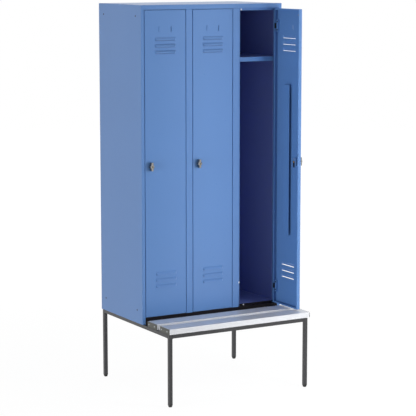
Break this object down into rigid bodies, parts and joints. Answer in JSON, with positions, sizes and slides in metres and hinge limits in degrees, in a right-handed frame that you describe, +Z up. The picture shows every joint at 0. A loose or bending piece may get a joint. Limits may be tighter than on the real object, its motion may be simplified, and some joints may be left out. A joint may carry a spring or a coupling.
{
  "type": "locker with bench",
  "caption": "Steel clothes locker with narrow louvred doors on a square-tube base frame, whose front carries a seat of aluminium slats.",
  "frame": {"origin": "bottom centre of the bounding box, on the floor under the locker", "axes": "+X to the right as one faces the doors, +Y to the back, +Z up"},
  "size_m": [0.8808, 0.78, 2.09],
  "materials": {
    "blue_coat": "satin powder coat",
    "black_coat": "satin powder coat",
    "grey_coat": "satin powder coat",
    "slat": "brushed",
    "nickel": "satin nickel plate",
    "zinc": "zinc plate",
    "plastic": "matt",
    "rubber": "matt"
  },
  "bodies": {
    "cabinet": {"leg_front_left": "grey_coat", "leg_front_right": "grey_coat", "leg_rear_left": "grey_coat", "leg_rear_right": "grey_coat", "foot_front_left": "plastic", "foot_front_right": "plastic", "foot_rear_left": "plastic", "foot_rear_right": "plastic", "rail_left": "grey_coat", "rail_right": "grey_coat", "rail_front": "grey_coat", "rail_middle": "grey_coat", "rail_rear": "grey_coat", "slat_front": "slat", "slat_rear": "slat", "cap_front_left": "plastic", "cap_front_right": "plastic", "cap_rear_left": "plastic", "cap_rear_right": "plastic", "side_left": "blue_coat", "side_right": "blue_coat", "back_panel": "blue_coat", "roof_panel": "blue_coat", "floor_panel": "blue_coat", "header": "blue_coat", "sill": "black_coat", "mullion_1": "blue_coat", "mullion_2": "blue_coat", "partition_1": "blue_coat", "partition_2": "blue_coat", "shelf_1": "blue_coat", "shelf_2": "blue_coat", "shelf_3": "blue_coat", "coat_rail_1": "zinc", "coat_rail_2": "zinc", "coat_rail_3": "zinc", "hinge_1_top": "black_coat", "hinge_1_bottom": "black_coat", "hinge_2_top": "black_coat", "hinge_2_bottom": "black_coat", "hinge_3_top": "black_coat", "hinge_3_bottom": "black_coat", "buffer_1": "rubber", "buffer_2": "rubber", "buffer_3": "rubber"},
    "door_1": {"door_panel_1": "blue_coat", "stiffener_1": "blue_coat", "lock_case_1": "zinc"},
    "door_2": {"door_panel_2": "blue_coat", "stiffener_2": "blue_coat", "lock_case_2": "zinc"},
    "door_3": {"door_panel_3": "blue_coat", "stiffener_3": "blue_coat", "lock_case_3": "zinc"},
    "lock_1": {"knob_1": "nickel", "cam_1": "zinc"},
    "lock_2": {"knob_2": "nickel", "cam_2": "zinc"},
    "lock_3": {"knob_3": "nickel", "cam_3": "zinc"}
  },
  "joints": [
    {"name": "door_1_swing", "type": "hinge", "parent": "cabinet", "child": "door_1", "pos_m": [-0.1774, -0.094, 1.24465], "axis": [0, 0, 1], "range_deg": [0, 100]},
    {"name": "door_2_swing", "type": "hinge", "parent": "cabinet", "child": "door_2", "pos_m": [0.1131, -0.094, 1.24465], "axis": [0, 0, 1], "range_deg": [0, 100]},
    {"name": "door_3_swing", "type": "hinge", "parent": "cabinet", "child": "door_3", "pos_m": [0.4036, -0.094, 1.24465], "axis": [0, 0, 1], "range_deg": [-90, 10]},
    {"name": "lock_1_turn", "type": "hinge", "parent": "door_1", "child": "lock_1", "pos_m": [-0.3869, -0.1, 1.23965], "axis": [0, 1, 0], "range_deg": [0, 90]},
    {"name": "lock_2_turn", "type": "hinge", "parent": "door_2", "child": "lock_2", "pos_m": [-0.0964, -0.1, 1.23965], "axis": [0, 1, 0], "range_deg": [0, 90]},
    {"name": "lock_3_turn", "type": "hinge", "parent": "door_3", "child": "lock_3", "pos_m": [0.4096, -0.3035, 1.23965], "axis": [-1, 0, 0], "range_deg": [0, 90]}
  ]
}
